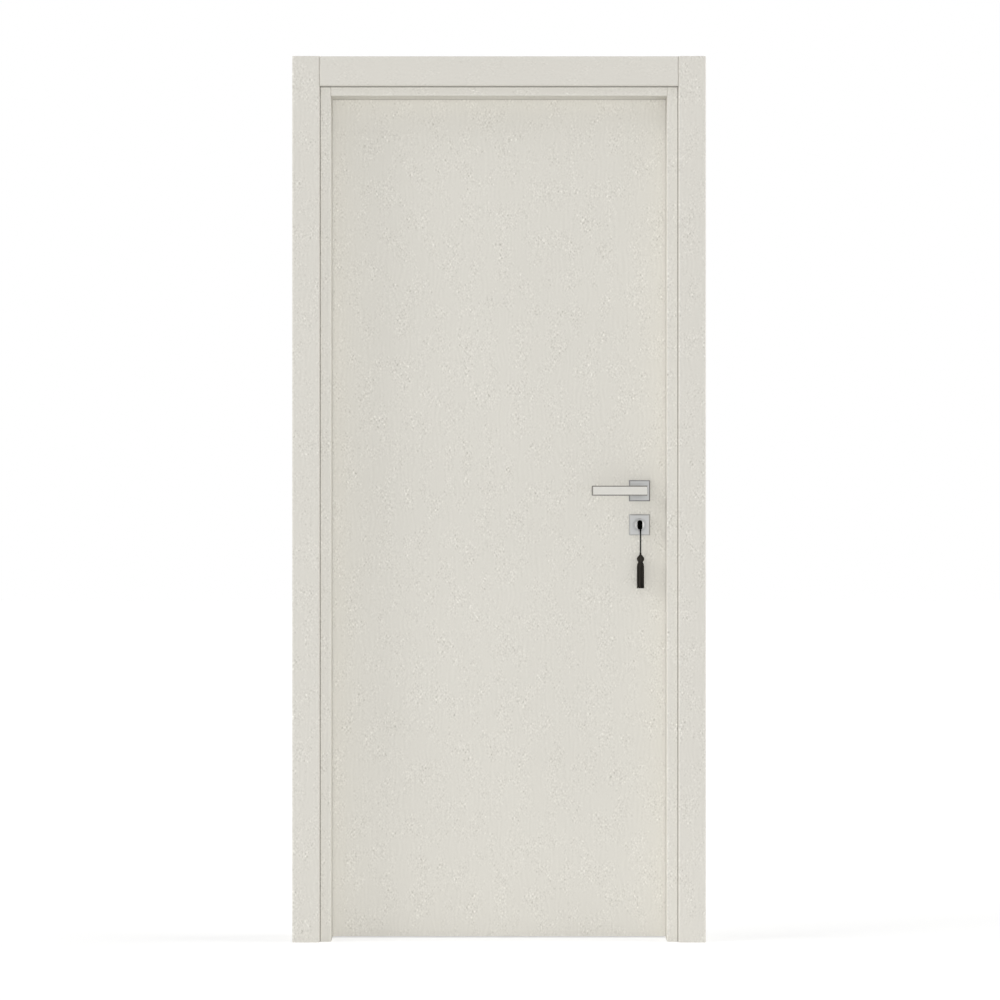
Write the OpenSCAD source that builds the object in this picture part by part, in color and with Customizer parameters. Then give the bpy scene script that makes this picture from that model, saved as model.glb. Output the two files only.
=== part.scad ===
// Prehung interior door: a flush leaf hung in a rebated frame with flat casings on
// both sides, lever handles, a mortise lock, and a key with a tassel in its cylinder.
// X runs across the doorway from the hinge jamb's wall face, Y runs through the wall
// with its middle at zero, and Z runs up from the floor. The front, at -Y, is the side
// that the leaf is pushed from, where the stop shows. The hinges are at the back.

/* [Frame] */
// Width of the frame over the wall faces of its jambs
frame_w = 880; // [760:10:1080]
// Height of the frame from the floor to the top of the head jamb
frame_h = 2036; // [1930:1:2336]
// Depth of the frame, which is the thickness of the finished wall
frame_d = 100; // [90:5:180]
// Thickness of the jamb boards
jamb_t = 30; // [26:1:40]
// How far the stop stands in from the face of the jamb board
stop_h = 14.5; // [13:0.5:20]
// Radius of the eased edge of the stop
stop_edge_r = 3; // [0.5:0.5:4]

/* [Casings] */
// Thickness of the casing boards
casing_t = 10; // [8:1:18]
// Width of the side casings
casing_w = 64.5; // [50:0.5:90]
// Height of the head casing
head_casing_h = 70; // [50:1:110]
// Strip of jamb that shows beside each side casing
side_reveal = 26.4; // [22:0.1:28]
// Strip of jamb that shows under the head casing
head_reveal = 22; // [20:0.5:26]
// Radius of the eased front edges of the casings
casing_edge_r = 4; // [0.5:0.5:4]
// Width of the bevel on the ends of the head casing
end_bevel = 2.5; // [0.5:0.5:4]
// Width of the V-groove in the jambs along the casings
joint_w = 2; // [1:0.5:3]
// Depth of that groove
joint_deep = 2.5; // [1:0.5:4]
// Thickness of the tongue that holds a casing in its jamb
tongue_t = 6; // [4:0.5:7]
// Length of that tongue
tongue_l = 12; // [8:1:20]

/* [Leaf] */
// Thickness of the leaf
leaf_t = 42; // [40:1:50]
// Thickness of the skin on each face of the leaf
skin_t = 4; // [3:0.5:5]
// Radius of the eased upright edges of the leaf
leaf_edge_r = 1; // [0.5:0.5:2]
// Width of the stile that carries the hinges
hinge_stile_w = 60; // [45:5:100]
// Width of the stile that holds the lock
lock_stile_w = 120; // [110:5:150]
// Height of the top and bottom rails
rail_h = 80; // [50:5:150]
// Gap between each edge of the leaf and its jamb
side_gap = 6.5; // [6:0.5:8]
// Gap between the leaf and the head jamb
top_gap = 5; // [5:0.5:8]
// Gap between the leaf and the floor
floor_gap = 3; // [3:1:15]
// Space between the leaf and the stop, which the seal fills
seal_space = 3; // [2.5:0.5:5]
// Width of the seal
seal_w = 12; // [10:0.5:12.5]

/* [Hinges] */
// Height of a hinge
hinge_h = 100; // [80:5:120]
// Width of a wing in its recess
wing_w = 30; // [24:1:34]
// Thickness of a wing
wing_t = 3; // [2:0.5:3.5]
// Diameter of the hinge pins
pin_d = 6; // [5:0.5:7]
// Number of knuckles on a hinge
knuckles = 5; // [3:2:7]
// Distance from the back of the leaf to the hinge axis
axis_setback = 7; // [7:0.5:9]
// Distance from the top of the leaf to the top hinge
top_hinge_drop = 150; // [100:10:250]
// Distance from the bottom of the leaf to the bottom hinge
bottom_hinge_rise = 200; // [120:10:300]

/* [Handles] */
// Height of the lever axis above the floor
lever_z = 1062; // [1000:0.5:1120]
// Side of the square roses and escutcheons
plate_side = 50; // [48:1:55]
// Thickness of the roses and escutcheons
plate_t = 9; // [7:0.5:11]
// Width of the bevel round a rose or an escutcheon
plate_bevel = 2.5; // [1:0.5:3]
// Reach of a lever from its axis to its free end
lever_reach = 114.5; // [100:0.5:135]
// Length of a lever past its axis
lever_tail = 16; // [12:0.5:20]
// Height of a lever's bar
bar_h = 23.5; // [20:0.5:26]
// Thickness of a lever's bar
bar_t = 9; // [8:0.5:13]
// Width of the bevel round the face of a lever's bar
bar_bevel = 2.5; // [1:0.5:3.5]
// Width of that bevel at the tail end of the bar
tail_bevel = 0.5; // [0.2:0.1:3.5]
// Distance from the face of the leaf to the face of a lever
lever_stand = 58; // [50:1:68]
// Diameter of a lever's neck where it turns in its rose
neck_d = 20; // [16:1:22]
// Diameter of the collar on a lever's neck, in front of its rose
collar_d = 24; // [23:0.5:28]
// Thickness of that collar
collar_t = 2; // [1:0.5:3]
// Side of the square spindle
spindle_side = 8; // [7:1:9]

/* [Lock] */
// Distance from the edge of the leaf to the lever and key axes
backset = 70; // [50:5:75]
// Distance from the lever axis down to the key axis
lock_centres = 81; // [72:1:92]
// Thickness of the lock case
case_t = 16; // [14:1:20]
// Height of the lock case
case_h = 170; // [165:5:190]
// Height of the lock's faceplate
faceplate_h = 235; // [215:5:245]
// Width of the lock's faceplate
faceplate_w = 22; // [20:1:24]
// Thickness of the lock's faceplate
faceplate_t = 3; // [2:0.5:3]
// Height of the strike plate
strike_h = 200; // [190:5:230]
// Thickness of the strike plate
strike_t = 2; // [1.5:0.5:3]
// Height of the strike plate's lip, which the latch runs over
lip_h = 40; // [30:2:60]
// How far the lip is turned round the edge of the jamb
lip_turn = 6; // [3:0.5:8]
// Diameter of the lock cylinder
cylinder_d = 22; // [20:1:26]
// Diameter of the plug that turns in the cylinder
plug_d = 14; // [12:0.5:15]
// Diameter of the round recess in an escutcheon
recess_d = 30; // [28:1:36]

/* [Key] */
// Width of the key's bow, seen from the front
bow_w = 10.5; // [8:0.5:12]
// Height of the key's bow
bow_h = 22.5; // [18:0.5:25]
// Depth of the key's bow, from its back to its front
bow_l = 22; // [18:1:28]
// Radius of the front corners of the bow, seen from the side
bow_corner_r = 8; // [4:0.5:9]
// Diameter of the hole through the bow
bow_hole_d = 4; // [2:0.5:5]
// Diameter of the key's round neck
key_neck_d = 7; // [5:0.5:7]
// Length of the key's round neck
key_neck_l = 5; // [4.5:0.5:8]
// Thickness of the key's blade
blade_t = 2.2; // [1.8:0.1:2.6]
// Height of the key's blade
blade_h = 8; // [7:0.5:8.5]
// Length of the blade inside the plug
blade_l = 26; // [20:1:30]

/* [Tassel] */
// Distance from the key axis down to the binding of the tassel
tassel_drop = 88; // [70:0.5:160]
// How far the tassel hangs to the right of the key axis
tassel_side = 1.7; // [0:0.1:2]
// Diameter of the cord that the tassel hangs by
cord_d = 1.6; // [1.2:0.1:2]
// Widest diameter of the tassel's head
tassel_head_d = 17.5; // [14:0.5:20]
// Diameter of the tassel where its head is bound
tassel_neck_d = 11.6; // [8:0.2:13]
// Diameter of the tassel's skirt
tassel_skirt_d = 16.4; // [14:0.2:20]
// Height of the tassel's head
tassel_head_h = 20.5; // [16:0.5:24]
// Length of the tassel's skirt
tassel_skirt_h = 62.5; // [40:0.5:80]

/* [Hidden] */
$fn = 48;

// Clearances
seat = 0.1;           // round a piece that is fixed in its pocket or socket
turning = 0.05;       // round a pin, neck or plug that turns in its bore, on the radius
apart = 0.3;          // between faces that pass each other or nearly touch
through = 1;          // how far a cut runs past the face that it goes through

// Colours
cream = [0.85, 0.84, 0.81];
seal_grey = [0.80, 0.79, 0.76];
core_brown = [0.72, 0.62, 0.47];
satin_metal = [0.72, 0.72, 0.71];
bright_metal = [0.80, 0.79, 0.77];
brass = [0.78, 0.66, 0.38];
black = [0.03, 0.03, 0.03];

// Frame
front_y = -frame_d / 2;
back_y = frame_d / 2;
left_face = jamb_t;
right_face = frame_w - jamb_t;
left_stop = left_face + stop_h;
right_stop = right_face - stop_h;
head_face = frame_h - jamb_t;
head_stop = head_face - stop_h;
stop_y = back_y - leaf_t - seal_space;

// Leaf
leaf_x0 = left_face + side_gap;
leaf_x1 = right_face - side_gap;
leaf_y0 = back_y - leaf_t;
leaf_y1 = back_y;
leaf_z0 = floor_gap;
leaf_z1 = head_face - top_gap;
core_y0 = leaf_y0 + skin_t;
core_y1 = leaf_y1 - skin_t;
core_x0 = leaf_x0 + hinge_stile_w;
core_x1 = leaf_x1 - lock_stile_w;
leaf_mid_y = (leaf_y0 + leaf_y1) / 2;

// Casings
casing_x1 = left_stop - side_reveal;
head_casing_z0 = head_stop + head_reveal;
casing_top = head_casing_z0 + head_casing_h;
tongue_x = casing_x1 / 2;
tongue_z = (head_casing_z0 + frame_h) / 2;

// Hinges
knuckle_over = 0.25;  // how far a knuckle stands past the back of its wing
cap_bevel = 2;
cap_inset = 0.5;
axis_x = left_face + side_gap / 2;
axis_y = leaf_y1 + axis_setback;
knuckle_r = side_gap / 2 + wing_t + knuckle_over;
pin_r = pin_d / 2;
bore_r = pin_r + turning;
cap_r = knuckle_r - cap_inset;
cap_h = 5;
hinge_low_z = leaf_z0 + bottom_hinge_rise;
hinge_top_z = leaf_z1 - top_hinge_drop - hinge_h;
hinge_zs = [hinge_low_z, (hinge_low_z + hinge_top_z) / 2, hinge_top_z];
knuckle_h = hinge_h / knuckles;

// Lock and handles
lock_x = leaf_x1 - backset;
key_z = lever_z - lock_centres;
lock_z = (lever_z + key_z) / 2;
spindle_room = 2;     // past the corners of the square spindle as it turns
spindle_hole_r = spindle_side * 0.75 + spindle_room;
case_past_axes = 24;
case_x0 = lock_x - case_past_axes;
case_x1 = leaf_x1 - faceplate_t;
bolt_t = 12;
bolt_l = 22;
latch_h = 20;
latch_nose = 8;
latch_tip = 2;
dead_h = 36;
dead_rise = 2;        // from the key axis up to the middle of the dead bolt
dead_z = key_z + dead_rise;
bolt_room = 1;        // round a bolt in its hole in the strike plate
strike_pocket = 16;
plate_front = leaf_y0 - plate_t;
lever_front = leaf_y0 - lever_stand;
lever_back = lever_front + bar_t;
socket_l = lever_stand - plate_t - bar_t;
spindle_end = 1;      // between an end of the spindle and the bottom of its socket
cylinder_r = cylinder_d / 2;
plug_r = plug_d / 2;
recess_deep = 1.2;
plug_l = 32;
plug_proud = 0.5;

// Key
key_y = plate_front - plug_proud;
bow_y = key_y - apart - key_neck_l;
keyway_h = blade_h + 2 * seat;
keyway_t = blade_t + 2 * seat;
blade_start = 0.5;    // how far the blade's full height runs into the round neck
tang_l = 10;
tang_h = 5;
bow_hole_y = bow_y - bow_l + bow_hole_d * 1.5;

// Tassel
cord_r = cord_d / 2;
cord_y = key_y - apart - key_neck_l / 2;
loop_r = key_neck_d / 2 + apart + cord_r;
strand_x = cord_r + 0.05;
tassel_neck_z = key_z - tassel_drop;
tassel_top_z = tassel_neck_z + tassel_head_h;
tassel_low_z = tassel_neck_z - tassel_skirt_h;
head_tip_r = 2.2;
head_widest = 0.4;    // how far up the head it is widest, as a share of its height
skirt_shoulder = 6;   // height of the rounded top of the skirt

// A box between two opposite corners
module block(from, to) {
    translate(from) cube(to - from);
}

// A prism along Y of a flat shape drawn in X and Z, from y0 to y1
module along_y(y0, y1) {
    translate([0, y1, 0]) rotate([90, 0, 0]) linear_extrude(height = y1 - y0) children();
}

// A prism along X of a flat shape drawn in Y and Z, from x0 to x1
module along_x(x0, x1) {
    translate([x0, 0, 0]) rotate([90, 0, 90]) linear_extrude(height = x1 - x0) children();
}

// A round bar or hole along Y
module round_y(x, z, r, y0, y1) {
    translate([x, y1, z]) rotate([90, 0, 0]) cylinder(r = r, h = y1 - y0);
}

// What is drawn for the front is turned over for the back of the leaf
module at_back() {
    translate([0, 2 * leaf_mid_y, 0]) mirror([0, 1, 0]) children();
}

// The same shape at the front and at the back of the frame
module both_faces() {
    children();
    mirror([0, 1, 0]) children();
}

// The same shape on the hinge side and, turned over, on the lock side
module at_lock_side() {
    translate([frame_w, 0, 0]) mirror([1, 0, 0]) children();
}

// Section of a board with eased front edges, from x0 to x1, its front at -Y
module eased_section(x0, x1, y0, y1, r) {
    translate([x0, y0 + r]) square([x1 - x0, y1 - y0 - r]);
    translate([x0 + r, y0]) square([x1 - x0 - 2 * r, y1 - y0]);
    for (x = [x0 + r, x1 - r]) translate([x, y0 + r]) circle(r = r);
}

// A plate with a bevelled face at y0 and its back at y1, centred on x and z. The bevel
// on its right side can have a width of its own
module bevelled_plate(x, z, w, h, y0, y1, bevel, right) {
    intersection() {
        translate([0, 0, z - h / 2]) linear_extrude(height = h)
            polygon([[x - w / 2, y1], [x - w / 2, y0 + bevel], [x - w / 2 + bevel, y0],
                     [x + w / 2 - right, y0], [x + w / 2, y0 + right], [x + w / 2, y1]]);
        along_x(x - w / 2 - through, x + w / 2 + through)
            polygon([[y1, z - h / 2], [y0 + bevel, z - h / 2], [y0, z - h / 2 + bevel],
                     [y0, z + h / 2 - bevel], [y0 + bevel, z + h / 2], [y1, z + h / 2]]);
    }
}

// Frame
module tongue_grooves() {
    both_faces() translate([tongue_x - tongue_t / 2 - seat, front_y - through])
        square([tongue_t + 2 * seat, tongue_l + seat + through]);
}

// A V-groove runs along the casings, up the side jambs and across the head jamb
module joint_section(at) {
    translate([at, 0]) polygon([[0, front_y - through], [0, front_y],
                                [joint_w / 2, front_y + joint_deep],
                                [joint_w, front_y], [joint_w, front_y - through]]);
}

module upright_joint() {
    both_faces() translate([0, 0, -through])
        linear_extrude(height = head_casing_z0 + through) joint_section(casing_x1);
}

module level_joint() {
    both_faces() along_x(casing_x1, frame_w - casing_x1)
        mirror([1, -1]) joint_section(head_casing_z0 - joint_w);
}

module jamb_section() {
    difference() {
        union() {
            translate([0, front_y]) square([left_face, frame_d]);
            translate([0, front_y]) square([left_stop - stop_edge_r, stop_y - front_y]);
            translate([0, front_y + stop_edge_r])
                square([left_stop, stop_y - front_y - stop_edge_r]);
            translate([left_stop - stop_edge_r, front_y + stop_edge_r]) circle(r = stop_edge_r);
        }
        tongue_grooves();
    }
}

module hinge_jamb() {
    color(cream) difference() {
        linear_extrude(height = frame_h) jamb_section();
        upright_joint();
        level_joint();
        for (z = hinge_zs)
            block([left_face - wing_t, back_y - wing_w, z],
                  [left_face + through, back_y + through, z + hinge_h]);
    }
}

module lock_jamb() {
    color(cream) difference() {
        at_lock_side() linear_extrude(height = frame_h) jamb_section();
        at_lock_side() upright_joint();
        level_joint();
        strike_outline(seat);
        strike_holes(strike_pocket);
    }
}

// Its rounded edge is below, so the section is turned over from that of a side jamb
module head_jamb() {
    color(cream) difference() {
        union() {
            block([left_face, stop_y, head_face], [right_face, back_y, frame_h]);
            along_x(left_stop, right_stop) {
                translate([front_y, head_stop + stop_edge_r])
                    square([stop_y - front_y, frame_h - head_stop - stop_edge_r]);
                translate([front_y + stop_edge_r, head_stop])
                    square([stop_y - front_y - stop_edge_r, frame_h - head_stop]);
                translate([front_y + stop_edge_r, head_stop + stop_edge_r]) circle(r = stop_edge_r);
            }
        }
        both_faces()
            block([left_face - through, front_y - through, tongue_z - tongue_t / 2 - seat],
                  [right_face + through, front_y + tongue_l + seat, tongue_z + tongue_t / 2 + seat]);
        level_joint();
    }
}

// Casings
module side_casing() {
    linear_extrude(height = casing_top)
        eased_section(casing_x1 - casing_w, casing_x1, front_y - casing_t, front_y, casing_edge_r);
    block([tongue_x - tongue_t / 2, front_y - casing_t / 2, 0],
          [tongue_x + tongue_t / 2, front_y + tongue_l, frame_h]);
}

module head_casing() {
    x1 = frame_w - casing_x1;
    face = front_y - casing_t;
    intersection() {
        along_x(casing_x1, x1) mirror([1, -1])
            eased_section(head_casing_z0, casing_top, face, front_y, casing_edge_r);
        translate([0, 0, head_casing_z0 - through]) linear_extrude(height = head_casing_h + 2 * through)
            polygon([[casing_x1, front_y], [casing_x1, face + end_bevel],
                     [casing_x1 + end_bevel, face], [x1 - end_bevel, face],
                     [x1, face + end_bevel], [x1, front_y]]);
    }
    block([left_stop + seat, front_y - casing_t / 2, tongue_z - tongue_t / 2],
          [right_stop - seat, front_y + tongue_l, tongue_z + tongue_t / 2]);
}

module front_hinge_casing() {
    color(cream) side_casing();
}

module front_lock_casing() {
    color(cream) at_lock_side() side_casing();
}

module front_head_casing() {
    color(cream) head_casing();
}

module back_hinge_casing() {
    color(cream) mirror([0, 1, 0]) side_casing();
}

module back_lock_casing() {
    color(cream) mirror([0, 1, 0]) at_lock_side() side_casing();
}

module back_head_casing() {
    color(cream) mirror([0, 1, 0]) head_casing();
}

// One strip of seal that runs up, over and down in the corner of the rebate
module frame_seal() {
    color(seal_grey) along_y(stop_y, leaf_y0 - apart) difference() {
        translate([left_face, 0]) square([right_face - left_face, head_face]);
        translate([left_face + seal_w, -through])
            square([right_face - left_face - 2 * seal_w, head_face - seal_w + through]);
    }
}

// Lock side
module strike_outline(extra) {
    block([right_face - through * sign(extra), leaf_mid_y - faceplate_w / 2 - extra,
           lock_z - strike_h / 2 - extra],
          [right_face + strike_t, leaf_mid_y + faceplate_w / 2 + extra, lock_z + strike_h / 2 + extra]);
    block([right_face - through * sign(extra), leaf_mid_y, lever_z - lip_h / 2 - extra],
          [right_face + strike_t, back_y + through * sign(extra), lever_z + lip_h / 2 + extra]);
}

module strike_holes(deep) {
    for (hole = [[lever_z, latch_h], [dead_z, dead_h]])
        block([right_face - through, leaf_mid_y - bolt_t / 2 - bolt_room,
               hole[0] - hole[1] / 2 - bolt_room],
              [right_face + deep, leaf_mid_y + bolt_t / 2 + bolt_room,
               hole[0] + hole[1] / 2 + bolt_room]);
}

// The lip turns away from the leaf, round the back edge of the jamb
module strike_lip() {
    translate([0, 0, lever_z - lip_h / 2]) linear_extrude(height = lip_h) {
        translate([right_face + strike_t, back_y]) difference() {
            circle(r = strike_t);
            translate([-strike_t - through, -strike_t - through])
                square([2 * (strike_t + through), strike_t + through]);
            translate([0, -through]) square([strike_t + through, strike_t + 2 * through]);
        }
        translate([right_face + strike_t, back_y]) square([lip_turn, strike_t]);
    }
}

module strike_plate() {
    color(satin_metal) {
        difference() {
            strike_outline(0);
            strike_holes(strike_t + through);
        }
        strike_lip();
    }
}

// Hinges: the jamb's wing has the odd knuckles, the leaf's wing the even ones
module knuckle(z, i) {
    translate([axis_x, axis_y, z + i * knuckle_h + apart / 2])
        cylinder(r = knuckle_r, h = knuckle_h - apart);
}

module hinge_wing(z, x0, first) {
    difference() {
        union() {
            block([x0, back_y - wing_w, z], [x0 + wing_t, back_y, z + hinge_h]);
            for (i = [first:2:knuckles - 1]) {
                knuckle(z, i);
                block([x0, back_y - wing_w / 2, z + i * knuckle_h + apart / 2],
                      [x0 + wing_t, axis_y, z + (i + 1) * knuckle_h - apart / 2]);
            }
        }
        translate([axis_x, axis_y, z - through]) cylinder(r = bore_r, h = hinge_h + 2 * through);
    }
}

module jamb_wing(z) {
    color(satin_metal) hinge_wing(z, left_face - wing_t, 0);
}

module leaf_wing(z) {
    color(satin_metal) hinge_wing(z, leaf_x0, 1);
}

module hinge_pin(z) {
    color(satin_metal) translate([axis_x, axis_y, z]) rotate_extrude()
        polygon([[0, -cap_h], [cap_r - cap_bevel, -cap_h], [cap_r, cap_bevel - cap_h], [cap_r, 0],
                 [pin_r, 0], [pin_r, hinge_h], [cap_r, hinge_h],
                 [cap_r, hinge_h + cap_h - cap_bevel],
                 [cap_r - cap_bevel, hinge_h + cap_h], [0, hinge_h + cap_h]]);
}

module jamb_wing_low() { jamb_wing(hinge_zs[0]); }
module jamb_wing_mid() { jamb_wing(hinge_zs[1]); }
module jamb_wing_top() { jamb_wing(hinge_zs[2]); }
module leaf_wing_low() { leaf_wing(hinge_zs[0]); }
module leaf_wing_mid() { leaf_wing(hinge_zs[1]); }
module leaf_wing_top() { leaf_wing(hinge_zs[2]); }
module hinge_pin_low() { hinge_pin(hinge_zs[0]); }
module hinge_pin_mid() { hinge_pin(hinge_zs[1]); }
module hinge_pin_top() { hinge_pin(hinge_zs[2]); }

// Leaf
module leaf_wing_recesses() {
    for (z = hinge_zs)
        block([leaf_x0 - through, back_y - wing_w, z],
              [leaf_x0 + wing_t, back_y + through, z + hinge_h]);
}

module leaf_bores(y0, y1) {
    round_y(lock_x, lever_z, spindle_hole_r, y0 - through, y1 + through);
    round_y(lock_x, key_z, cylinder_r + seat, y0 - through, y1 + through);
}

module skin() {
    translate([0, 0, leaf_z0]) linear_extrude(height = leaf_z1 - leaf_z0)
        eased_section(leaf_x0, leaf_x1, leaf_y0, core_y0, leaf_edge_r);
}

module front_skin() {
    color(cream) difference() {
        skin();
        leaf_bores(leaf_y0, core_y0);
    }
}

module back_skin() {
    color(cream) difference() {
        at_back() skin();
        leaf_bores(core_y1, leaf_y1);
        leaf_wing_recesses();
    }
}

module hinge_stile() {
    color(cream) difference() {
        block([leaf_x0, core_y0, leaf_z0], [core_x0, core_y1, leaf_z1]);
        leaf_wing_recesses();
    }
}

module lock_stile() {
    color(cream) difference() {
        block([core_x1, core_y0, leaf_z0], [leaf_x1, core_y1, leaf_z1]);
        leaf_bores(core_y0, core_y1);
        case_outline(seat);
    }
}

module top_rail() {
    color(cream) block([core_x0, core_y0, leaf_z1 - rail_h], [core_x1, core_y1, leaf_z1]);
}

module bottom_rail() {
    color(cream) block([core_x0, core_y0, leaf_z0], [core_x1, core_y1, leaf_z0 + rail_h]);
}

module leaf_core() {
    color(core_brown)
        block([core_x0, core_y0, leaf_z0 + rail_h], [core_x1, core_y1, leaf_z1 - rail_h]);
}

// Lock
module case_outline(extra) {
    block([case_x0 - extra, leaf_mid_y - case_t / 2 - extra, lock_z - case_h / 2 - extra],
          [leaf_x1 - faceplate_t / 2, leaf_mid_y + case_t / 2 + extra, lock_z + case_h / 2 + extra]);
    block([case_x1, leaf_mid_y - faceplate_w / 2 - extra, lock_z - faceplate_h / 2 - extra],
          [leaf_x1 + through * sign(extra), leaf_mid_y + faceplate_w / 2 + extra,
           lock_z + faceplate_h / 2 + extra]);
}

module bolt_block(z, h, extra, reach) {
    block([leaf_x1 - bolt_l - extra, leaf_mid_y - bolt_t / 2 - extra, z - h / 2 - extra],
          [leaf_x1 + reach, leaf_mid_y + bolt_t / 2 + extra, z + h / 2 + extra]);
}

module lock_case() {
    color(satin_metal) difference() {
        case_outline(0);
        leaf_bores(core_y0, core_y1);
        bolt_block(lever_z, latch_h, seat, through);
        bolt_block(dead_z, dead_h, seat, through);
    }
}

// The latch is drawn back flush; its nose slopes on the side that meets the strike
module latch_bolt() {
    color(satin_metal) difference() {
        bolt_block(lever_z, latch_h, 0, 0);
        translate([0, 0, lever_z - latch_h]) linear_extrude(height = 2 * latch_h)
            polygon([[leaf_x1 - latch_nose, leaf_mid_y - bolt_t / 2 - through],
                     [leaf_x1 - latch_nose, leaf_mid_y - bolt_t / 2],
                     [leaf_x1, leaf_mid_y + bolt_t / 2 - latch_tip],
                     [leaf_x1 + through, leaf_mid_y + bolt_t / 2 - latch_tip],
                     [leaf_x1 + through, leaf_mid_y - bolt_t / 2 - through]]);
    }
}

module dead_bolt() {
    color(satin_metal) bolt_block(dead_z, dead_h, 0, 0);
}

module keyway(y0, y1) {
    block([lock_x - keyway_t / 2, y0, key_z - keyway_h / 2],
          [lock_x + keyway_t / 2, y1, key_z + keyway_h / 2]);
}

module cylinder_body() {
    back_plate = 2 * leaf_mid_y - plate_front;
    color(bright_metal) difference() {
        round_y(lock_x, key_z, cylinder_r, plate_front, back_plate);
        round_y(lock_x, key_z, plug_r + turning, plate_front - through, plate_front + plug_l);
        keyway(back_plate - blade_h, back_plate + through);
    }
}

module cylinder_plug() {
    color(brass) difference() {
        round_y(lock_x, key_z, plug_r, plate_front - plug_proud, plate_front + plug_l - apart);
        keyway(plate_front - plug_proud - through, key_y + blade_l + apart);
    }
}

// Roses and escutcheons
module rose() {
    difference() {
        bevelled_plate(lock_x, lever_z, plate_side, plate_side, plate_front, leaf_y0,
                       plate_bevel, plate_bevel);
        round_y(lock_x, lever_z, neck_d / 2 + turning, plate_front - through, leaf_y0 + through);
    }
}

module escutcheon() {
    difference() {
        bevelled_plate(lock_x, key_z, plate_side, plate_side, plate_front, leaf_y0,
                       plate_bevel, plate_bevel);
        round_y(lock_x, key_z, recess_d / 2, plate_front - through, plate_front + recess_deep);
        round_y(lock_x, key_z, cylinder_r + seat, plate_front - through, leaf_y0 + through);
    }
}

module front_rose() {
    color(satin_metal) rose();
}

module back_rose() {
    color(satin_metal) at_back() rose();
}

module front_escutcheon() {
    color(satin_metal) escutcheon();
}

module back_escutcheon() {
    color(satin_metal) at_back() escutcheon();
}

// Levers
module lever() {
    bar_w = lever_reach + lever_tail;
    bar_x = lock_x + (lever_tail - lever_reach) / 2;
    difference() {
        union() {
            bevelled_plate(bar_x, lever_z, bar_w, bar_h, lever_front, lever_back,
                           bar_bevel, tail_bevel);
            round_y(lock_x, lever_z, neck_d / 2, lever_back - through, leaf_y0 - apart);
            round_y(lock_x, lever_z, collar_d / 2, plate_front - apart - collar_t, plate_front - apart);
        }
        block([lock_x - spindle_side / 2 - seat, leaf_y0 - socket_l, lever_z - spindle_side / 2 - seat],
              [lock_x + spindle_side / 2 + seat, leaf_y0 + through, lever_z + spindle_side / 2 + seat]);
    }
}

module front_lever() {
    color(bright_metal) lever();
}

module back_lever() {
    color(bright_metal) at_back() lever();
}

module spindle() {
    color(satin_metal)
        block([lock_x - spindle_side / 2, leaf_y0 - socket_l + spindle_end, lever_z - spindle_side / 2],
              [lock_x + spindle_side / 2, leaf_y1 + socket_l - spindle_end, lever_z + spindle_side / 2]);
}

// Key
module key_blade() {
    color(satin_metal) {
        block([lock_x - blade_t / 2, key_y - apart - blade_start, key_z - blade_h / 2],
              [lock_x + blade_t / 2, key_y + blade_l, key_z + blade_h / 2]);
        round_y(lock_x, key_z, key_neck_d / 2, bow_y, key_y - apart);
        block([lock_x - blade_t / 2, bow_y - tang_l, key_z - tang_h / 2],
              [lock_x + blade_t / 2, bow_y + through, key_z + tang_h / 2]);
    }
}

// The bow is a flat grip with round edges: an upright oval from the front, and from
// the side a plate whose front corners are rounded
module key_bow() {
    color(black) difference() {
        intersection() {
            along_y(bow_y - bow_l, bow_y) translate([lock_x, key_z]) {
                square([bow_w, bow_h - bow_w], center = true);
                for (side = [-1, 1]) translate([0, side * (bow_h - bow_w) / 2]) circle(d = bow_w);
            }
            along_x(lock_x - bow_w, lock_x + bow_w) translate([bow_y - bow_l, key_z]) {
                translate([bow_corner_r, -bow_h / 2 - through])
                    square([bow_l, bow_h + 2 * through]);
                translate([0, -bow_h / 2 + bow_corner_r])
                    square([bow_l, bow_h - 2 * bow_corner_r]);
                for (side = [-1, 1])
                    translate([bow_corner_r, side * (bow_h / 2 - bow_corner_r)])
                        circle(r = bow_corner_r);
            }
        }
        along_x(lock_x - bow_w, lock_x + bow_w)
            translate([bow_hole_y, key_z]) circle(d = bow_hole_d);
        block([lock_x - blade_t / 2 - seat, bow_y - tang_l - seat, key_z - tang_h / 2 - seat],
              [lock_x + blade_t / 2 + seat, bow_y + through, key_z + tang_h / 2 + seat]);
    }
}

// Tassel: a thin cord goes up, over the key's round neck and down again to its head.
// Its two strands run side by side, a little to the right of the key axis, and part
// just below the neck, over a length that grows with the loop.
fall = key_z - tassel_top_z;
parting = 2.6 * loop_r;
function strand(side) = concat(
    [for (t = [0:0.1:1]) [tassel_side + side * strand_x, t * (fall - parting)]],
    [for (t = [0.2:0.2:0.8])
        let (turn = (1 - cos(180 * t)) / 2)
        [(tassel_side + side * strand_x) * (1 - turn) + side * loop_r * turn,
         fall - parting * (1 - t)]]
);
right_strand = strand(1);
cord_points = concat(
    strand(-1),
    [for (a = [190:-20:-10]) [loop_r * cos(a), fall + loop_r * sin(a)]],
    [for (i = [len(right_strand) - 1:-1:0]) right_strand[i]]
);

module key_cord() {
    color(black) tube(cord_points, cord_r);
}

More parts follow.
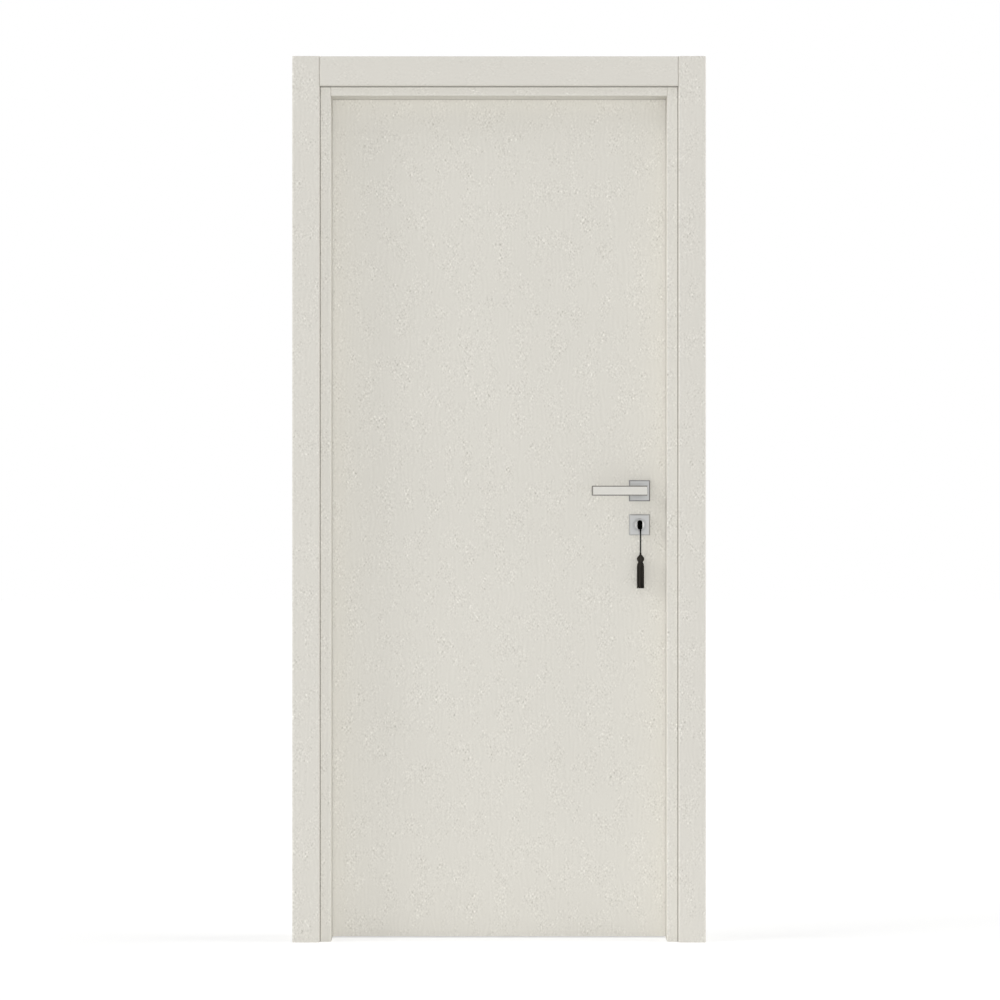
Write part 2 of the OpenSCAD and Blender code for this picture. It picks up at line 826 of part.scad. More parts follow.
// A tube of eight sides round a route that is drawn in X and Z
module tube(route, r) {
    sides = 8;
    last = len(route) - 1;
    function heading(i) = let (d = route[min(i + 1, last)] - route[max(i - 1, 0)]) d / norm(d);
    rings = [for (i = [0:last]) let (h = heading(i)) for (k = [0:sides - 1])
        let (a = 360 * k / sides)
        [lock_x + route[i][0] - h[1] * r * cos(a), cord_y + r * sin(a),
         tassel_top_z + route[i][1] + h[0] * r * cos(a)]];
    sides_faces = [for (i = [0:last - 1]) for (k = [0:sides - 1])
        [i * sides + k, i * sides + (k + 1) % sides,
         (i + 1) * sides + (k + 1) % sides, (i + 1) * sides + k]];
    polyhedron(rings, concat(sides_faces,
        [[for (k = [sides - 1:-1:0]) k], [for (k = [0:sides - 1]) last * sides + k]]), 4);
}

module turned(z) {
    translate([lock_x + tassel_side, cord_y, z]) rotate_extrude() children();
}

// The head swells from its binding to its widest point and tapers to the cord
function head_r(t) = t < head_widest
    ? tassel_neck_d / 2 + (tassel_head_d - tassel_neck_d) / 2 * sin(90 * t / head_widest)
    : head_tip_r + (tassel_head_d / 2 - head_tip_r)
        * cos(90 * (t - head_widest) / (1 - head_widest));

module tassel_head() {
    steps = 12;
    color(black) turned(tassel_neck_z)
        polygon(concat([[0, 0]],
                       [for (i = [0:steps]) [head_r(i / steps), tassel_head_h * i / steps]],
                       [[0, tassel_head_h]]));
}

module tassel_skirt() {
    skirt_r = tassel_skirt_d / 2;
    neck_r = tassel_neck_d / 2;
    color(black) turned(tassel_low_z)
        polygon(concat([[0, 0], [skirt_r, 0]],
                       [for (a = [0:15:90])
                           [neck_r + (skirt_r - neck_r) * cos(a),
                            tassel_skirt_h - skirt_shoulder * (1 - sin(a))]],
                       [[0, tassel_skirt_h]]));
}

hinge_jamb();
lock_jamb();
head_jamb();
front_hinge_casing();
front_lock_casing();
front_head_casing();
back_hinge_casing();
back_lock_casing();
back_head_casing();
frame_seal();
strike_plate();
jamb_wing_low();
jamb_wing_mid();
jamb_wing_top();
leaf_wing_low();
leaf_wing_mid();
leaf_wing_top();
hinge_pin_low();
hinge_pin_mid();
hinge_pin_top();
front_skin();
back_skin();
hinge_stile();
lock_stile();
top_rail();
bottom_rail();
leaf_core();
lock_case();
latch_bolt();
dead_bolt();
cylinder_body();
front_rose();
back_rose();
front_escutcheon();
back_escutcheon();
front_lever();
back_lever();
spindle();
cylinder_plug();
key_blade();
key_bow();
key_cord();
tassel_head();
tassel_skirt();
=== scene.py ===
"""The looks of the prehung interior door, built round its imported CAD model."""
import math
import random

import bmesh
import bpy
from mathutils import Matrix, Vector


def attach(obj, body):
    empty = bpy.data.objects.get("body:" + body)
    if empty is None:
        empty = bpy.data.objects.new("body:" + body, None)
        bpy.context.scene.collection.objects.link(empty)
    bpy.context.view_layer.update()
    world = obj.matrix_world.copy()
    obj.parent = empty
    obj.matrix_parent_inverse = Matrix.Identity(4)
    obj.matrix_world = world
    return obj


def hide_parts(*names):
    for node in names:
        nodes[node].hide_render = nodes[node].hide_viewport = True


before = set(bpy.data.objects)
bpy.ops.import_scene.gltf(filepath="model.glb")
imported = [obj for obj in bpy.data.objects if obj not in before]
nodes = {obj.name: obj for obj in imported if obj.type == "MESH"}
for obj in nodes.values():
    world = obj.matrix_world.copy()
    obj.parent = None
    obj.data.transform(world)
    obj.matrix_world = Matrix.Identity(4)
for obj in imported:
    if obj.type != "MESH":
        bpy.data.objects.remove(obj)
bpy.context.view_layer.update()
scene = bpy.context.scene
scene.view_settings.view_transform = "Standard"

# Places from the part's source, in metres
LOCK_X = 0.7735
LEVER_Z = 1.062
KEY_Z = 0.981
LOCK_Z = (LEVER_Z + KEY_Z) / 2
LEAF_MID_Y = 0.029
LEAF_LEFT_X, LEAF_RIGHT_X = 0.0365, 0.8435
REBATE_LEFT_X, REBATE_RIGHT_X = 0.030, 0.850
FRAME_FRONT_Y, FRAME_BACK_Y = -0.050, 0.050
GROOVE_LEFT_X, GROOVE_RIGHT_X, GROOVE_TOP_Z = 0.0191, 0.8609, 2.0125
HINGE_LOW_Z = (0.203, 0.977, 1.751)
CORD_Y = -0.0043
CORD_D = 0.0016
HEAD_TOP = 0.9135
HEAD_LOW = 0.893
SKIRT_LOW = 0.8305

# The tassel hangs a little to the right of the key's axis, 0.4 mm further than in the source
TASSEL_X = LOCK_X + 0.0021


# Camera: square on, at the height and distance that the photo's perspective gives
camera = bpy.data.objects.new("camera", bpy.data.cameras.new("camera"))
camera.location = (0.4422, -6.06, 1.040)
camera.rotation_euler = (math.radians(90), 0, 0)
camera.data.sensor_width = 36
camera.data.lens = 91.91
camera.data.clip_end = 60
scene.collection.objects.link(camera)
scene.camera = camera


def mesh_object(name, bm, smooth=True):
    mesh = bpy.data.meshes.new(name)
    bmesh.ops.recalc_face_normals(bm, faces=bm.faces)
    bm.to_mesh(mesh)
    bm.free()
    mesh.polygons.foreach_set("use_smooth", [smooth] * len(mesh.polygons))
    obj = bpy.data.objects.new(name, mesh)
    scene.collection.objects.link(obj)
    return obj


def dress(obj, material, body):
    """Gives a new piece its material and its body."""
    obj.data.materials.append(material)
    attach(obj, body)
    return obj


def wall(bm, low, high):
    """Faces between two rings of corners."""
    count = len(low)
    for k in range(count):
        following = (k + 1) % count
        bm.faces.new((low[k], low[following], high[following], high[k]))


def frames_along(points):
    """Directions across a route, turned as little as possible from one point to the next."""
    last = len(points) - 1
    along = [(points[min(i + 1, last)] - points[max(i - 1, 0)]).normalized()
             for i in range(last + 1)]
    side = along[0].orthogonal().normalized()
    out = []
    for i, t in enumerate(along):
        if i:
            side = along[i - 1].rotation_difference(t) @ side
        side = (side - side.dot(t) * t).normalized()
        out.append((side, t.cross(side)))
    return out


def tube(bm, points, radius, sides):
    """A closed tube. radius is a number, or a function of the place along it, from 0 to 1,
    and of the angle round it."""
    rings = []
    last = len(points) - 1
    for i, (p, (a, b)) in enumerate(zip(points, frames_along(points))):
        ring = []
        for k in range(sides):
            angle = 2 * math.pi * k / sides
            r = radius(i / last, angle) if callable(radius) else radius
            ring.append(bm.verts.new(p + (a * math.cos(angle) + b * math.sin(angle)) * r))
        rings.append(ring)
    for low, high in zip(rings, rings[1:]):
        wall(bm, low, high)
    bm.faces.new(rings[0][::-1])
    bm.faces.new(rings[-1])


def resample(points, step):
    """The same line with its points an equal step apart."""
    out = [points[0]]
    left = step
    for p, q in zip(points, points[1:]):
        length = (q - p).length
        at = 0.0
        while length - at >= left:
            at += left
            out.append(p.lerp(q, at / length))
            left = step
        left -= length - at
    if (out[-1] - points[-1]).length > step * 0.3:
        out.append(points[-1])
    return out


def smoothed(points):
    """A line with its corners cut twice, its ends kept."""
    for _ in range(2):
        cut = [points[0]]
        for p, q in zip(points, points[1:]):
            cut += [p.lerp(q, 0.25), p.lerp(q, 0.75)]
        points = cut + [points[-1]]
    return points


def cord_route():
    """The cord's route, as in the part's source: up from the tassel, over the key's neck and
    down. Inside the tassel its two ends run on to where they are tied in."""
    fall = KEY_Z - HEAD_TOP
    loop_r = 0.0046
    strand_x = 0.00085
    aside = TASSEL_X - LOCK_X
    parting = 2.6 * loop_r

    def strand(side):
        straight_x = aside + side * strand_x
        out = [(straight_x, z) for z in (-0.026, -0.018, -0.009)]
        out += [(straight_x, t / 10 * (fall - parting)) for t in range(11)]
        for t in (0.2, 0.4, 0.6, 0.8):
            turn = (1 - math.cos(math.pi * t)) / 2
            out.append((straight_x * (1 - turn) + side * loop_r * turn, fall - parting * (1 - t)))
        return out

    over = [(loop_r * math.cos(math.radians(a)), fall + loop_r * math.sin(math.radians(a)))
            for a in range(190, -11, -20)]
    return [Vector((LOCK_X + x, CORD_Y, HEAD_TOP + z))
            for x, z in strand(-1) + over + strand(1)[::-1]]


# The step between its points, and the way along it from one strand's ridge to the next
CORD_STEP = 0.00075
STRAND_PITCH = 0.0032
cord_line = resample(smoothed(cord_route()), CORD_STEP)
cord_turns = sum((q - p).length for p, q in zip(cord_line, cord_line[1:])) / STRAND_PITCH


def plied(t, angle):
    """Three strands laid round each other."""
    phase = 3 * (angle - 2 * math.pi * cord_turns * t / 3)
    return CORD_D / 2 * (0.97 + 0.09 * math.cos(phase))


bm = bmesh.new()
tube(bm, cord_line, plied, sides=12)
cord = mesh_object("cord", bm)


def coil(bm, z, width, depth, pitch, turns, steps, thickness):
    """Thread wound round the tassel's axis from the height z up. width and depth are the radii
    of its turns in x and y."""
    points = []
    for k in range(steps * turns + 1):
        a = 2 * math.pi * k / steps
        points.append(Vector((TASSEL_X + width * math.cos(a), CORD_Y + depth * math.sin(a),
                              z + pitch * k / steps)))
    tube(bm, points, thickness, sides=6)


# The tassel: a head wound over a core, a binding under it and a skirt of threads
def head_radius(t):
    """The head's radius at a share t of its height: a bell that runs to a point under the cord.
    It is widest at a third of its height, and the rest is the fall to the tip."""
    neck, widest, tip = 0.0055, 0.00875, 0.0020
    at, fall = 0.36, 0.62
    if t < at:
        return neck + (widest - neck) * math.sin(math.pi / 2 * t / at)
    return tip + (widest - tip) * (1 + math.cos(math.pi * min(1, (t - at) / fall))) / 2


def tassel_head():
    """The bell with the ridges of its threads, a binding round the waist and a knot on top."""
    rings, sides = 30, 156
    ridges, ridge_depth = 26, 0.045
    slant, waver = 5, 0.7
    waist_r, knot_r = 0.0054, 0.0019
    bm = bmesh.new()
    loops = []
    for i in range(rings + 1):
        t = i / rings
        r, z = head_radius(t), HEAD_LOW + (HEAD_TOP - HEAD_LOW) * t
        loop = []
        for k in range(sides):
            a = 2 * math.pi * k / sides
            lay = ridges * a + slant * t + waver * math.sin(7 * a)
            ridge = 1 - ridge_depth * (1 - abs(math.cos(lay / 2)))
            loop.append(bm.verts.new((TASSEL_X + r * ridge * math.cos(a),
                                      CORD_Y + r * ridge * math.sin(a), z)))
        loops.append(loop)
    for low, high in zip(loops, loops[1:]):
        wall(bm, low, high)
    bm.faces.new(loops[0][::-1])
    bm.faces.new(loops[-1])
    coil(bm, HEAD_LOW - 0.0024, waist_r, waist_r, pitch=0.0008, turns=6, steps=24,
         thickness=0.00042)
    coil(bm, HEAD_TOP - 0.0016, knot_r, knot_r, pitch=0.0009, turns=3, steps=16,
         thickness=0.00050)
    return mesh_object("tassel_head_threads", bm)


def tassel_skirt():
    """Four rings of threads, each thread with its own sway and twist."""
    # Threads in the ring, its radius at the top and lower down, and a thread's radius
    rings = ((46, 0.0050, 0.00785, 0.00055), (36, 0.0041, 0.0064, 0.00055),
             (26, 0.003, 0.0047, 0.0006), (12, 0.0014, 0.0024, 0.0008))
    steps = 14
    flare, flare_power = 0.11, 0.7
    waver, sway = 0.00012, 0.02
    any_angle = (0, 6.28)
    rng = random.Random(11)
    bm = bmesh.new()
    top = HEAD_LOW - 0.001
    for count, r_top, r_low, thread_r in rings:
        for k in range(count):
            a = 2 * math.pi * (k + rng.uniform(-0.22, 0.22)) / count
            swing, phase = rng.uniform(-0.10, 0.10), rng.uniform(*any_angle)
            end = SKIRT_LOW + rng.uniform(0, 0.0014)
            points = []
            for i in range(steps + 1):
                t = i / steps
                spread = min(1, t / flare) ** flare_power
                r = r_top + (r_low - r_top) * spread + waver * math.sin(5 * t + phase)
                b = a + swing * t + sway * math.sin(9 * t + phase)
                points.append(Vector((TASSEL_X + r * math.cos(b), CORD_Y + r * math.sin(b),
                                      top + (end - top) * t)))
            twist = rng.uniform(*any_angle)

            def twisted(t, angle):
                return thread_r * (0.93 + 0.09 * math.cos(2 * (angle - 40 * t) + twist))

            tube(bm, points, twisted, sides=7)
    return mesh_object("tassel_skirt_threads", bm)


def cord_whipping():
    """Six turns of thread round both strands of the cord, where they meet under the neck."""
    half_width, half_depth = 0.00195, 0.00110
    bm = bmesh.new()
    coil(bm, KEY_Z - 0.0146, half_width, half_depth, pitch=0.00055, turns=6, steps=20,
         thickness=0.00032)
    return mesh_object("cord_whipping", bm)


def painted_shadow_bead(name, face, inwards):
    """Grey beads in the grooves along the casings, painted shade: dark lines that darken the
    joints as shade would. Thin and deep ones at the sides, and a fuller one at the head that
    stands in for the shadow under the head casing."""
    side_depth, side_r = 0.00156, 0.00035
    head_depth, head_r = 0.0009, 0.00062
    foot, mid_z, mid_x = 0.0005, 1.0, 0.44
    bm = bmesh.new()
    for x in (GROOVE_LEFT_X, GROOVE_RIGHT_X):
        deep = face + inwards * side_depth
        line = [Vector((x, deep, z)) for z in (foot, mid_z, GROOVE_TOP_Z)]
        tube(bm, line, side_r, sides=10)
    deep = face + inwards * head_depth
    line = [Vector((x, deep, GROOVE_TOP_Z)) for x in (GROOVE_LEFT_X, mid_x, GROOVE_RIGHT_X)]
    tube(bm, line, head_r, sides=10)
    return mesh_object(name, bm)


head = tassel_head()
skirt = tassel_skirt()
# Grey beads that paint the shade in the casing joints, front and back.
front_bead = painted_shadow_bead("front_painted_shadow_bead", FRAME_FRONT_Y, 1)
back_bead = painted_shadow_bead("back_painted_shadow_bead", FRAME_BACK_Y, -1)
whipping = cord_whipping()


def screw(bm, place, facing, r, turn):
    """The head of a countersunk screw with a cross recess, turned about its axis."""
    proud, sunk, recess = 0.00012, 0.0004, 0.0003
    inner, taper = 0.93, 0.8
    arm, reach = 0.13 * r, 0.55 * r
    sides = 32
    matrix = (Matrix.Translation(Vector(place))
              @ Vector(facing).to_track_quat("Z", "Y").to_matrix().to_4x4()
              @ Matrix.Rotation(turn, 4, "Z"))

    def ring(points, z):
        return [bm.verts.new(matrix @ Vector((x, y, z))) for x, y in points]

    circle = [(math.cos(2 * math.pi * k / sides), math.sin(2 * math.pi * k / sides))
              for k in range(sides)]
    foot = ring([(r * x, r * y) for x, y in circle], -sunk)
    rim = ring([(r * x, r * y) for x, y in circle], proud * 0.5)
    face = ring([(inner * r * x, inner * r * y) for x, y in circle], proud)
    wall(bm, foot, rim)
    wall(bm, rim, face)
    cross = [(reach, -arm), (reach, arm), (arm, arm), (arm, reach), (-arm, reach), (-arm, arm),
             (-reach, arm), (-reach, -arm), (-arm, -arm), (-arm, -reach), (arm, -reach),
             (arm, -arm)]
    slot_top = ring(cross, proud)
    slot_low = ring([(taper * x, taper * y) for x, y in cross], -recess)
    wall(bm, slot_top, slot_low)
    bm.faces.new(slot_low)
    edges = []
    for loop in (face, slot_top):
        for pair in zip(loop, loop[1:] + loop[:1]):
            edges.append(bm.edges.get(pair) or bm.edges.new(pair))
    bmesh.ops.triangle_fill(bm, edges=edges, use_beauty=True,
                            normal=matrix.to_3x3() @ Vector((0, 0, 1)))
    bm.faces.new(foot[::-1])


def screws(name, places, facing, r):
    rng = random.Random(len(name))
    bm = bmesh.new()
    for place in places:
        screw(bm, place, facing, r, turn=rng.uniform(0, 1.5))
    return mesh_object(name, bm, smooth=False)


# Depth of each screw of a wing, and its height over the hinge's low end
WING_SCREWS = ((0.028, 0.013), (0.041, 0.037), (0.041, 0.063), (0.028, 0.087))


def wing_screws(name, x, facing):
    places = [(x, y, z + up) for z in HINGE_LOW_Z for y, up in WING_SCREWS]
    return screws(name, places, facing, 0.0040)


def plate_screws(name, x, facing, reach):
    """Two screws, a reach above and below the middle of the lock."""
    places = [(x, LEAF_MID_Y, LOCK_Z + side * reach) for side in (-1, 1)]
    return screws(name, places, facing, 0.0036)


RIGHT, LEFT = (1, 0, 0), (-1, 0, 0)
jamb_screws = wing_screws("jamb_wing_screws", REBATE_LEFT_X, RIGHT)
leaf_screws = wing_screws("leaf_wing_screws", LEAF_LEFT_X, LEFT)
lock_screws = plate_screws("faceplate_screws", LEAF_RIGHT_X, RIGHT, 0.109)
strike_screws = plate_screws("strike_plate_screws", REBATE_RIGHT_X, LEFT, 0.090)


# Materials
class Graph:
    """Short calls that add nodes to a tree. Each gives back an output socket, and split() all
    three of its own."""

    def __init__(self, tree):
        self.tree = tree

    def put(self, socket, value):
        if isinstance(value, bpy.types.NodeSocket):
            self.tree.links.new(value, socket)
        elif value is not None:
            socket.default_value = value

    def add(self, kind, *values, **settings):
        node = self.tree.nodes.new("ShaderNode" + kind)
        for key, value in settings.items():
            setattr(node, key, value)
        for socket, value in zip(node.inputs, values):
            self.put(socket, value)
        return node.outputs[0]

    def math(self, operation, a, b=None):
        return self.add("Math", a, b, operation=operation)

    def plus(self, a, b):
        return self.math("ADD", a, b)

    def times(self, a, b):
        return self.math("MULTIPLY", a, b)

    def over(self, a, b):
        return self.math("DIVIDE", a, b)

    def size(self, a):
        return self.math("ABSOLUTE", a)

    def split(self, vector):
        node = self.tree.nodes.new("ShaderNodeSeparateXYZ")
        self.tree.links.new(vector, node.inputs[0])
        return node.outputs

    def vector(self, x, y, z):
        return self.add("CombineXYZ", x, y, z)

    def noise(self, vector, detail, scale=1.0):
        node = self.tree.nodes.new("ShaderNodeTexNoise")
        for key, value in (("Vector", vector), ("Scale", scale), ("Detail", detail)):
            self.put(node.inputs[key], value)
        return node.outputs[0]

    def ranged(self, value, low, high, to_low, to_high):
        return self.add("MapRange", value, low, high, to_low, to_high)

    def scaled(self, colour, amount):
        node = self.tree.nodes.new("ShaderNodeVectorMath")
        node.operation = "SCALE"
        self.put(node.inputs[0], colour)
        self.put(node.inputs["Scale"], amount)
        return node.outputs[0]

    def mix(self, factor, a, b):
        """A mix of two colours, by the Mix node's sockets for colours."""
        node = self.tree.nodes.new("ShaderNodeMix")
        node.data_type = "RGBA"
        self.put(node.inputs[0], factor)
        self.put(node.inputs[6], a)
        self.put(node.inputs[7], b)
        return node.outputs[2]

    def seen_by(self, *rays):
        """1 for these kinds of ray and 0 for the others."""
        path = self.tree.nodes.new("ShaderNodeLightPath").outputs
        seen = path[rays[0]]
        for ray in rays[1:]:
            seen = self.math("MAXIMUM", seen, path[ray])
        return seen


class Look(Graph):
    """A material. Its constants go to the sockets of its surface."""

    def __init__(self, name, **constants):
        self.material = bpy.data.materials.new(name)
        self.material.use_nodes = True
        super().__init__(self.material.node_tree)
        self.surface = self.tree.nodes["Principled BSDF"].inputs
        for key, value in constants.items():
            self.surface[key.replace("_", " ")].default_value = value
        place = self.tree.nodes.new("ShaderNodeTexCoord").outputs
        self.place, self.normal = place["Object"], place["Normal"]

    def base(self, colour):
        self.put(self.surface["Base Color"], colour)

    def rough(self, value):
        self.put(self.surface["Roughness"], value)

    def bump(self, height, distance, strength):
        node = self.tree.nodes.new("ShaderNodeBump")
        self.put(node.inputs["Height"], height)
        node.inputs["Distance"].default_value = distance
        node.inputs["Strength"].default_value = strength
        self.tree.links.new(node.outputs[0], self.surface["Normal"])


def foil(name, colour, along="z", strength=1.0):
    """Cream foil with a woven emboss, its threads along the board and across it."""
    wide, long = 0.0108, 0.0150
    weave_pitch = 0.0011
    g = Look(name, Specular_IOR_Level=0.35)
    x, y, z = g.split(g.place)
    flat = g.math("GREATER_THAN", g.size(g.split(g.normal)[2]), 0.6)
    up = g.math("SUBTRACT", 1.0, flat)
    u = g.plus(x, g.times(y, up))
    v = g.plus(g.times(z, up), g.times(y, flat))
    if along == "x":
        u, v = v, u

    def spots(width, length, seed, detail=0.0):
        return g.noise(g.vector(g.over(u, width), g.over(v, length), seed), detail)

    def wave(place, period, drift):
        turns = g.plus(g.over(place, period), g.times(drift, 2.0))
        return g.math("SINE", g.times(turns, 2 * math.pi))

    def ridges(place):
        return g.size(g.math("SINE", g.times(place, math.pi / weave_pitch)))

    # A lattice of flecks that comes and goes, over a finer grain; light and dark alike
    across = wave(u, wide, spots(0.045, 0.060, 2.0))
    lattice = g.times(across, wave(v, long, spots(0.050, 0.070, 4.0)))
    clear = g.ranged(spots(0.014, 0.018, 6.0), 0.40, 0.66, 0.0, 0.8)
    grain = g.ranged(spots(0.0034, 0.0050, 1.7), 0.28, 0.72, -1.0, 1.0)
    even = g.plus(g.times(lattice, clear), grain)
    specks = g.times(even, g.size(even))
    patches = g.ranged(spots(0.040, 0.060, 9.0, detail=2.0), 0.40, 0.64, 0.15, 1.35)
    threads = g.times(specks, patches)

    # Streaks along the board, and a faint cloud over the whole of it
    streaks = g.times(across, g.ranged(spots(0.012, 0.045, 5.2), 0.40, 0.66, 0.0, 1.0))
    cloud = g.ranged(spots(0.2, 0.3, 3.0, detail=3.0), 0.3, 0.7, -0.008, 0.008)
    marks = g.plus(g.times(threads, 0.078 * strength), g.times(streaks, 0.022 * strength))
    g.base(g.add("VectorMath", g.scaled(colour, g.plus(1.0, cloud)),
                 g.scaled((0.70, 0.70, 0.69), marks), operation="ADD"))
    g.rough(g.ranged(specks, -1.0, 1.3, 0.60, 0.46))
    weave = g.plus(ridges(u), ridges(v))
    g.bump(g.plus(g.times(weave, 0.35), threads), 0.00008 * strength, 0.6)
    return g.material


CREAM = (0.720, 0.700, 0.645)
# The casings take a slightly darker copy of the same cream. This is painted shade, so that the
# casings, which catch more light, render as bright as the jambs and leaf.
CREAM_SHADED_FOR_CASINGS = (0.697, 0.677, 0.626)
casing_up = foil("cream_casing_shaded_upright", CREAM_SHADED_FOR_CASINGS)
casing_level = foil("cream_casing_shaded_level", CREAM_SHADED_FOR_CASINGS, along="x", strength=0.4)
cream_up = foil("cream_foil_upright", CREAM)
cream_level = foil("cream_foil_level", CREAM, along="x", strength=0.8)
cream_leaf = foil("cream_foil_leaf", CREAM)
cream_edge = foil("cream_foil_edge", CREAM, strength=0.5)


def satin(name, face, edge_colour_and_shade, lay="x", rough=0.42, edge_rough=0.6):
    """Satin metal: a brushed face, and bevels and sides with a colour of their own. Where that
    colour is darker than the face, as on the rose, lever and cylinder, it is painted shade and
    reflection: the dark edges that shade and dark surroundings would give.
    """
    fine, long = 2600.0, 60.0
    scale = {"x": (long, fine, fine), "z": (fine, fine, long)}[lay]
    g = Look(name, Metallic=1.0)
    brush = g.noise(g.vector(*(g.times(c, k) for c, k in zip(g.split(g.place), scale))), 3.0)
    mottle = g.noise(g.place, 3.0, scale=90.0)
    # Faces turned to the front take the face colour. Bevels and sides take the edge colour, which
    # paints their shade and reflection where it is darker.
    front = g.ranged(g.size(g.split(g.normal)[1]), 0.90, 0.98, 0.0, 1.0)
    tone = g.plus(g.ranged(brush, 0.3, 0.7, 0.95, 1.03), g.ranged(mottle, 0.3, 0.7, -0.02, 0.02))
    g.base(g.scaled(g.mix(front, (*edge_colour_and_shade, 1), (*face, 1)), tone))
    g.rough(g.plus(g.ranged(front, 0.0, 1.0, edge_rough, rough),
                   g.ranged(brush, 0.3, 0.7, -0.03, 0.05)))
    g.bump(brush, 0.00001, 0.5)
    return g.material


# The rose, lever and cylinder have bevels darker than their faces: painted shade and reflection
# on their edges.
rose_metal = satin("satin_nickel", (0.60, 0.602, 0.600), (0.36, 0.36, 0.365))
escutcheon_metal = satin("pale_nickel", (0.60, 0.602, 0.596), (0.58, 0.58, 0.575))
lever_metal = satin("satin_aluminium", (0.725, 0.71, 0.665), (0.29, 0.285, 0.27),
                    edge_rough=0.2)
steel = satin("satin_steel", (0.52, 0.52, 0.51), (0.50, 0.50, 0.49), "z", 0.36, 0.32)
bolt_metal = satin("nickel_bolt", (0.58, 0.58, 0.57), (0.58, 0.58, 0.57), "z", 0.26, 0.26)
zinc = satin("zinc_bar", (0.44, 0.44, 0.45), (0.44, 0.44, 0.45), "x", 0.4, 0.4)
cylinder_metal = satin("nickelled_brass", (0.86, 0.85, 0.83), (0.70, 0.69, 0.67), "x", 0.28, 0.3)
key_metal = satin("key_nickel", (0.60, 0.60, 0.58), (0.56, 0.56, 0.54), "z", 0.3, 0.3)


def black_plastic():
    """Black plastic with a fine grain and a little wear."""
    g = Look("black_plastic", Specular_IOR_Level=0.01)
    grain = g.noise(g.place, 2.0, scale=1600.0)
    wear = g.noise(g.place, 3.0, scale=120.0)
    g.base(g.scaled((0.0012, 0.0012, 0.0012), g.ranged(wear, 0.3, 0.7, 0.8, 1.3)))
    g.rough(g.ranged(grain, 0.3, 0.7, 0.42, 0.6))
    g.bump(grain, 0.00002, 0.6)
    return g.material


def thread(name, colour, lay):
    """Black rayon: dull, with fibres along it and some threads lighter than others. lay is how
    fast the fibres change with height."""
    fine = 5200.0
    g = Look(name, Specular_IOR_Level=0.0)
    x, y, z = g.split(g.place)
    fibres = g.noise(g.vector(g.times(x, fine), g.times(y, fine), g.times(z, lay)), 2.0)
    angle = g.math("ARCTAN2", g.math("SUBTRACT", x, TASSEL_X), g.math("SUBTRACT", CORD_Y, y))
    shades = g.noise(g.vector(g.times(angle, 3.2), 0.0, g.times(z, 9.0)), 3.0)
    tone = g.times(g.ranged(fibres, 0.3, 0.7, 0.6, 1.5), g.ranged(shades, 0.35, 0.65, 0.45, 1.7))
    g.base(g.scaled(colour, tone))
    g.rough(g.ranged(fibres, 0.3, 0.7, 0.45, 0.7))
    g.bump(fibres, 0.00008, 0.6)
    return g.material


def plain(name, colour, rough, grain, spread, depth):
    """A matt material with a fine grain."""
    g = Look(name, Specular_IOR_Level=0.3)
    spot = g.noise(g.place, 4.0, scale=grain)
    g.base(g.scaled(colour, g.ranged(spot, 0.3, 0.7, 1 - spread, 1 + spread)))
    g.rough(g.ranged(spot, 0.3, 0.7, rough - 0.06, rough + 0.06))
    g.bump(spot, depth, 0.6)
    return g.material


seal = plain("cream_seal", (0.52, 0.50, 0.45), 0.7, 900.0, 0.06, 0.00003)
# The grey of the joint beads is painted shade in the casing joints.
shadow_bead_grey = plain("painted_shadow_grey", (0.13, 0.123, 0.11), 0.6, 700.0, 0.10, 0.00003)
board = plain("core_board", (0.46, 0.35, 0.22), 0.85, 260.0, 0.2, 0.0002)
plastic = black_plastic()
cord_thread = thread("black_cord", (0.005, 0.005, 0.005), 2600.0)
tassel_thread = thread("black_rayon", (0.033, 0.030, 0.026), 320.0)

looks = {
    casing_up: ["front_hinge_casing", "front_lock_casing", "back_hinge_casing",
                "back_lock_casing"],
    casing_level: ["front_head_casing", "back_head_casing"],
    cream_up: ["hinge_jamb", "lock_jamb"],
    cream_level: ["head_jamb"],
    cream_leaf: ["front_skin", "back_skin"],
    cream_edge: ["hinge_stile", "lock_stile", "top_rail", "bottom_rail"],
    board: ["leaf_core"],
    seal: ["frame_seal"],
    steel: ["strike_plate", "lock_case"] + [f"{kind}_{at}"
                                            for kind in ("jamb_wing", "leaf_wing", "hinge_pin")
                                            for at in ("low", "mid", "top")],
    bolt_metal: ["latch_bolt", "dead_bolt"],
    zinc: ["spindle"],
    rose_metal: ["front_rose", "back_rose"],
    escutcheon_metal: ["front_escutcheon", "back_escutcheon"],
    lever_metal: ["front_lever", "back_lever"],
    cylinder_metal: ["cylinder_body", "cylinder_plug"],
    key_metal: ["key_blade"],
    plastic: ["key_bow"],
    cord_thread: ["key_cord"],
    tassel_thread: ["tassel_head", "tassel_skirt"],
}
for material, names in looks.items():
    for name in names:
        slots = nodes[name].data.materials
        slots.clear()
        slots.append(material)
assert sum(map(len, looks.values())) == len(nodes)

dress(cord, cord_thread, "leaf")
dress(head, tassel_thread, "leaf")
dress(skirt, tassel_thread, "leaf")
dress(whipping, cord_thread, "leaf")
dress(jamb_screws, bolt_metal, "frame")
dress(leaf_screws, bolt_metal, "leaf")
dress(lock_screws, bolt_metal, "leaf")
dress(strike_screws, bolt_metal, "frame")
dress(front_bead, shadow_bead_grey, "frame")
dress(back_bead, shadow_bead_grey, "frame")
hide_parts("key_cord")
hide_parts("tassel_head")
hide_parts("tassel_skirt")


def eased(names, width):
    """Fine bevels, so that square edges catch the light."""
    for name in names:
        obj = nodes[name]
        weld = obj.modifiers.new("weld", "WELD")
        weld.merge_threshold = 0.000005
        bevel = obj.modifiers.new("bevel", "BEVEL")
        bevel.width = width
        bevel.segments = 2
        bevel.limit_method = "ANGLE"
        bevel.angle_limit = math.radians(40)


eased(["front_lever", "back_lever"], 0.0004)
eased(["front_rose", "back_rose", "front_escutcheon", "back_escutcheon"], 0.0003)
eased(["key_bow"], 0.0008)


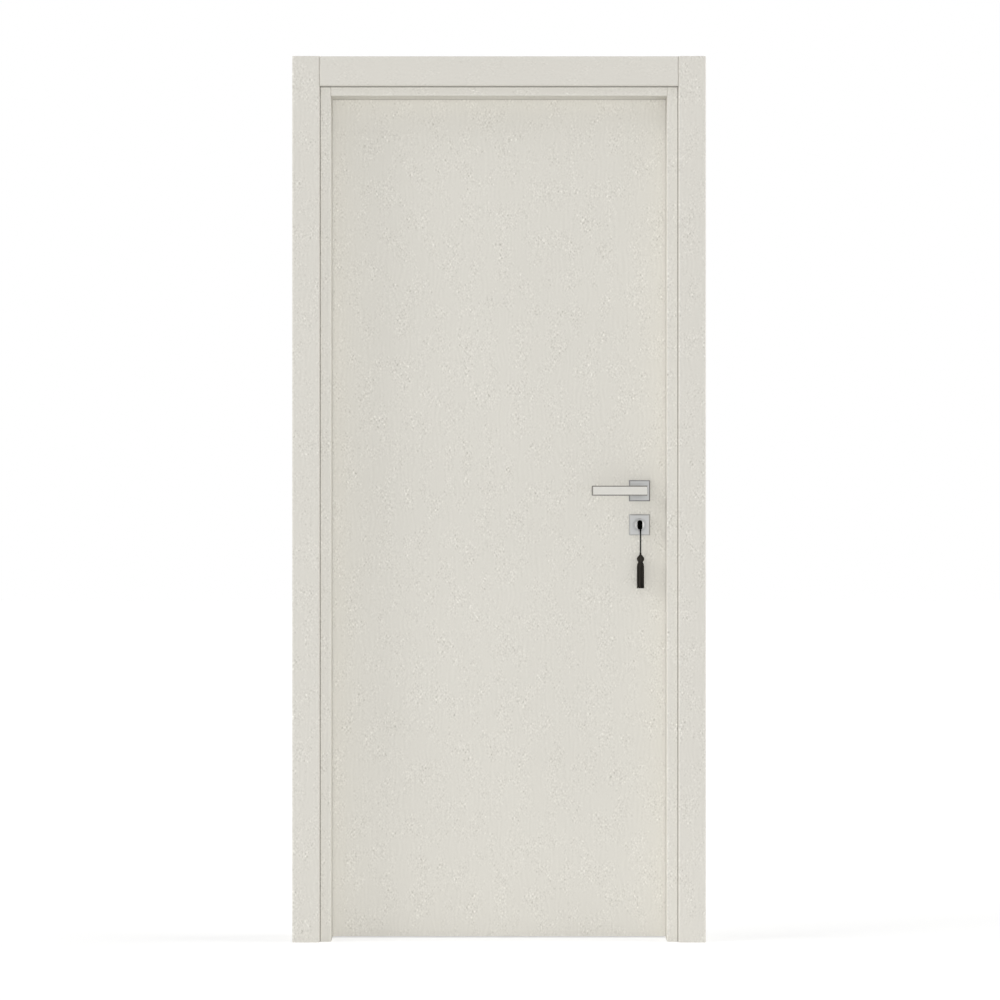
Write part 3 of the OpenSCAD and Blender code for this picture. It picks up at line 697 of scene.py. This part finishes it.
# Floor: white to the camera and in metal, with soft shadows, and matt for all other light
bm = bmesh.new()
bmesh.ops.create_grid(bm, x_segments=1, y_segments=1, size=20)
floor = mesh_object("floor", bm, smooth=False)
g = Look("white_floor")
diffuse = g.add("BsdfDiffuse", (0.55, 0.55, 0.55, 1))
glow = g.add("Emission", (1, 1, 1, 1), 0.60)
white = g.add("AddShader", diffuse, glow)
matt = g.add("BsdfDiffuse", (0.90, 0.90, 0.89, 1))
surface = g.add("MixShader", g.seen_by("Is Camera Ray", "Is Glossy Ray"), matt, white)
g.put(g.tree.nodes["Material Output"].inputs["Surface"], surface)
floor.data.materials.append(g.material)

# World: white where it is seen, and dim as a light
world = bpy.data.worlds.new("studio")
scene.world = world
world.use_nodes = True
g = Graph(world.node_tree)
white = g.tree.nodes["Background"]
white.inputs["Color"].default_value = (1, 1, 1, 1)
white.inputs["Strength"].default_value = 1.0
dim = g.add("Background", (1.0, 0.995, 0.985, 1), 0.33)
seen = g.seen_by("Is Camera Ray", "Is Glossy Ray", "Is Transmission Ray")
surface = g.add("MixShader", seen, dim, white.outputs[0])
g.put(g.tree.nodes["World Output"].inputs["Surface"], surface)


def sun(name, azimuth, elevation, strength, softness, glossy=True):
    """A far lamp. Azimuth 0 is straight in front of the door, and turns to the viewer's left."""
    data = bpy.data.lights.new(name, "SUN")
    data.energy = strength
    data.angle = math.radians(softness)
    obj = bpy.data.objects.new(name, data)
    a, e = math.radians(azimuth), math.radians(elevation)
    ray = Vector((math.sin(a) * math.cos(e), math.cos(a) * math.cos(e), -math.sin(e)))
    middle, distance = Vector((0.44, 0, 1.0)), 5
    obj.location = middle - distance * ray
    obj.rotation_euler = ray.to_track_quat("-Z", "Y").to_euler()
    obj.visible_glossy = glossy
    scene.collection.objects.link(obj)


sun("key", 0, 0.8, 1.16, 1.6, glossy=False)
sun("left", 80, 25, 1.5, 30, glossy=False)
sun("right", -90, 25, 1.6, 30)
sun("back", 180, 8, 1.5, 12, glossy=False)
